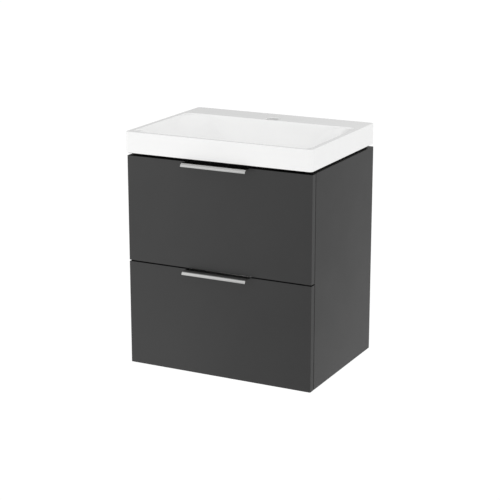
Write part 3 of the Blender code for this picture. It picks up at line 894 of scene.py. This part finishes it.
def runner_balls():
    """Rows of bearing balls between the channels; both races stay between their channels over the travel."""
    for level, (side, sign) in product(("upper", "lower"), (("left", -1), ("right", 1))):
        outer_low, outer_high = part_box(f"runner_cabinet_{level}_{side}")
        inner_low, inner_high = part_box(f"runner_drawer_{level}_{side}")
        middle_low, middle_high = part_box(f"runner_middle_{level}_{side}")
        centre_z = (outer_low.z + outer_high.z) / 2
        outer_z = (middle_high.z + outer_high.z - RUNNER_SHEET) / 2
        inner_z = (inner_high.z + middle_high.z - RUNNER_SHEET) / 2
        drawer_x = abs(inner_low.x if sign > 0 else inner_high.x)
        races = (("outer", outer_z, OUTER_RACE, middle_high.y - BALLS_FROM_END, -BALL_PITCH),
                 ("inner", inner_z, INNER_RACE, middle_low.y + BALLS_FROM_END, BALL_PITCH))
        for label, z, from_drawer, start, step in races:
            x = sign * (drawer_x + from_drawer)
            balls = [ball((x, start + step * i, row_z))
                     for row_z in (z, 2 * centre_z - z) for i in range(BALLS_IN_ROW)]
            new_piece(f"balls_{label}_{level}_{side}", gathered(balls), BALL, f"{level}_slides")


# ---------------------------------------------------------------- stage


def camera():
    """The view of the photograph: from the front, to the cabinet's right and above."""
    azimuth, elevation = math.radians(CAMERA_AZIMUTH), math.radians(CAMERA_ELEVATION)
    back = Vector((math.sin(azimuth) * math.cos(elevation), -math.cos(azimuth) * math.cos(elevation),
                   math.sin(elevation)))
    data = bpy.data.cameras.new("camera")
    data.lens = CAMERA_LENS
    data.sensor_width = CAMERA_SENSOR
    data.clip_end = 100.0
    obj = bpy.data.objects.new("camera", data)
    obj.location = CAMERA_TARGET + back * CAMERA_DISTANCE
    obj.rotation_euler = (-back).to_track_quat("-Z", "Y").to_euler()
    bpy.context.scene.collection.objects.link(obj)
    bpy.context.scene.camera = obj


def summed(nodes, links, sources):
    """The sum of several values."""
    total = sources[0]
    for source in sources[1:]:
        step = nodes.new("ShaderNodeMath")
        links.new(total, step.inputs[0])
        links.new(source, step.inputs[1])
        total = step.outputs[0]
    return total


def ranged(nodes, links, source, start, end, low, high):
    """A smooth step from low to high as the source goes from start to end."""
    node = nodes.new("ShaderNodeMapRange")
    node.interpolation_type = "SMOOTHSTEP"
    links.new(source, node.inputs["Value"])
    for socket, value in (("From Min", start), ("From Max", end), ("To Min", low), ("To Max", high)):
        node.inputs[socket].default_value = value
    return node.outputs[0]


def along(nodes, links, source, direction):
    """How far a vector reaches along a direction."""
    node = nodes.new("ShaderNodeVectorMath")
    node.operation = "DOT_PRODUCT"
    links.new(source, node.inputs[0])
    node.inputs[1].default_value = direction
    return node.outputs["Value"]


def world():
    """Studio surroundings with soft brighter and darker patches, seen directly as plain white."""
    made = bpy.data.worlds.new("studio")
    bpy.context.scene.world = made
    made.use_nodes = True
    nodes, links = made.node_tree.nodes, made.node_tree.links
    direction = nodes.new("ShaderNodeTexCoord").outputs["Generated"]
    height = along(nodes, links, direction, (0, 0, 1))
    level = nodes.new("ShaderNodeMapRange")
    links.new(height, level.inputs["Value"])
    level.inputs["To Min"].default_value = LEVELS["horizon"]
    level.inputs["To Max"].default_value = LEVELS["zenith"]
    parts = [level.outputs[0]]
    for name, toward, start, full in PATCHES:
        facing = along(nodes, links, direction, Vector(toward).normalized())
        parts.append(ranged(nodes, links, facing, start, full, 0.0, LEVELS[name]))
    seen = nodes.new("ShaderNodeMix")
    links.new(nodes.new("ShaderNodeLightPath").outputs["Is Camera Ray"], seen.inputs[0])
    links.new(summed(nodes, links, parts), seen.inputs[2])
    seen.inputs[3].default_value = BACKDROP
    links.new(seen.outputs[0], nodes["Background"].inputs["Strength"])
    nodes["Background"].inputs["Color"].default_value = grey(1.0)


def floor():
    """Pale floor that the camera sees as plain white from above and doesn't see from below.

    It glows as reflectors would: near the wall and at the front right, more at the front left, less to
    the cabinet's right, and again far in front.
    """
    made = Finish("pale_floor", (FLOOR_SHADE,) * 3, 0.9)
    made.colour(made.mix(made.noise(3.0, 2.0), grey(FLOOR_SHADE - 0.005), grey(FLOOR_SHADE + 0.005)))
    made.shader.inputs["Specular IOR Level"].default_value = 0.0
    nodes, links, place = made.nodes, made.links, made.place

    def step(source, limits, low, high):
        return ranged(nodes, links, source, *limits, low, high)

    def bearings(limits):
        return [math.radians(limit) for limit in limits]

    ahead = along(nodes, links, place, (0, -1, 0))
    x, y, _ = made.axes()
    bearing = made.math("ARCTAN2", made.math("MULTIPLY", x, -1.0), made.math("SUBTRACT", BEARING_Y, y))
    near = step(ahead, NEAR_FADES, 1.0, 0.0)
    around = made.math("MAXIMUM", near, step(bearing, bearings(RIGHT_BEARINGS), 1.0, 0.0))
    far = step(ahead, FAR_STARTS, 0.0, 1.0)
    before_far = made.math("SUBTRACT", step(ahead, LEFT_STARTS, 0.0, 1.0), far)
    left = made.math("MULTIPLY", before_far, step(bearing, bearings(LEFT_BEARINGS), 0.0, 1.0))
    beside = along(nodes, links, place, DIP_TOWARD)
    dip = made.math("MULTIPLY", step(beside, DIP_STARTS, 0.0, 1.0), step(beside, DIP_FADES, 1.0, 0.0))
    glows = (("floor_back", around), ("floor_left", left), ("floor_right", dip), ("floor_far", far))
    glow = summed(nodes, links, [made.math("MULTIPLY", mask, LEVELS[name]) for name, mask in glows])
    made.shader.inputs["Emission Color"].default_value = grey(1.0)
    links.new(glow, made.shader.inputs["Emission Strength"])
    seen = made.add("LightPath").outputs["Is Camera Ray"]
    plain = made.add("Emission", {"Strength": BACKDROP}).outputs[0]
    surface = made.add("MixShader", {0: seen, 1: made.shader.outputs[0], 2: plain}).outputs[0]
    from_below = made.add("NewGeometry").outputs["Backfacing"]
    clear = made.add("BsdfTransparent").outputs[0]
    surface = made.add("MixShader", {0: from_below, 1: surface, 2: clear}).outputs[0]
    links.new(surface, nodes["Material Output"].inputs["Surface"])
    bm = bmesh.new()
    bmesh.ops.create_circle(bm, cap_ends=True, radius=FLOOR_RADIUS, segments=96)
    mesh = bpy.data.meshes.new("floor")
    bm.to_mesh(mesh)
    bm.free()
    mesh.materials.append(made.material)
    obj = bpy.data.objects.new("floor", mesh)
    obj.location = (0, 0, UNDERSIDE - FLOOR_BELOW)
    bpy.context.scene.collection.objects.link(obj)


def softbox(name, edge, bearing, size):
    """A vertical light panel. The edge is its right-hand foot as seen from the cabinet."""
    width, height = size
    data = bpy.data.lights.new(name, "AREA")
    data.shape = "RECTANGLE"
    data.size, data.size_y = size
    data.energy = LEVELS[name] * math.pi * width * height
    obj = bpy.data.objects.new(name, data)
    azimuth = math.radians(bearing)
    toward = Vector((math.sin(azimuth), -math.cos(azimuth), 0))
    sideways = Vector((toward.y, -toward.x, 0))
    obj.location = Vector(edge) + sideways * width / 2 + Vector((0, 0, height / 2))
    obj.rotation_euler = (-toward).to_track_quat("-Z", "Y").to_euler()
    bpy.context.scene.collection.objects.link(obj)


def stage():
    """Colour handling, camera, floor, surroundings and light."""
    bpy.context.scene.view_settings.view_transform = "Standard"
    bpy.context.scene.view_settings.look = "None"
    camera()
    floor()
    world()
    softbox("softbox_left", SOFTBOX_EDGE, SOFTBOX_BEARING, SOFTBOX_SIZE)


basin()
handles()
boards()
fasteners()
cam_caps()
bumper_pads()
runner_balls()
stage()
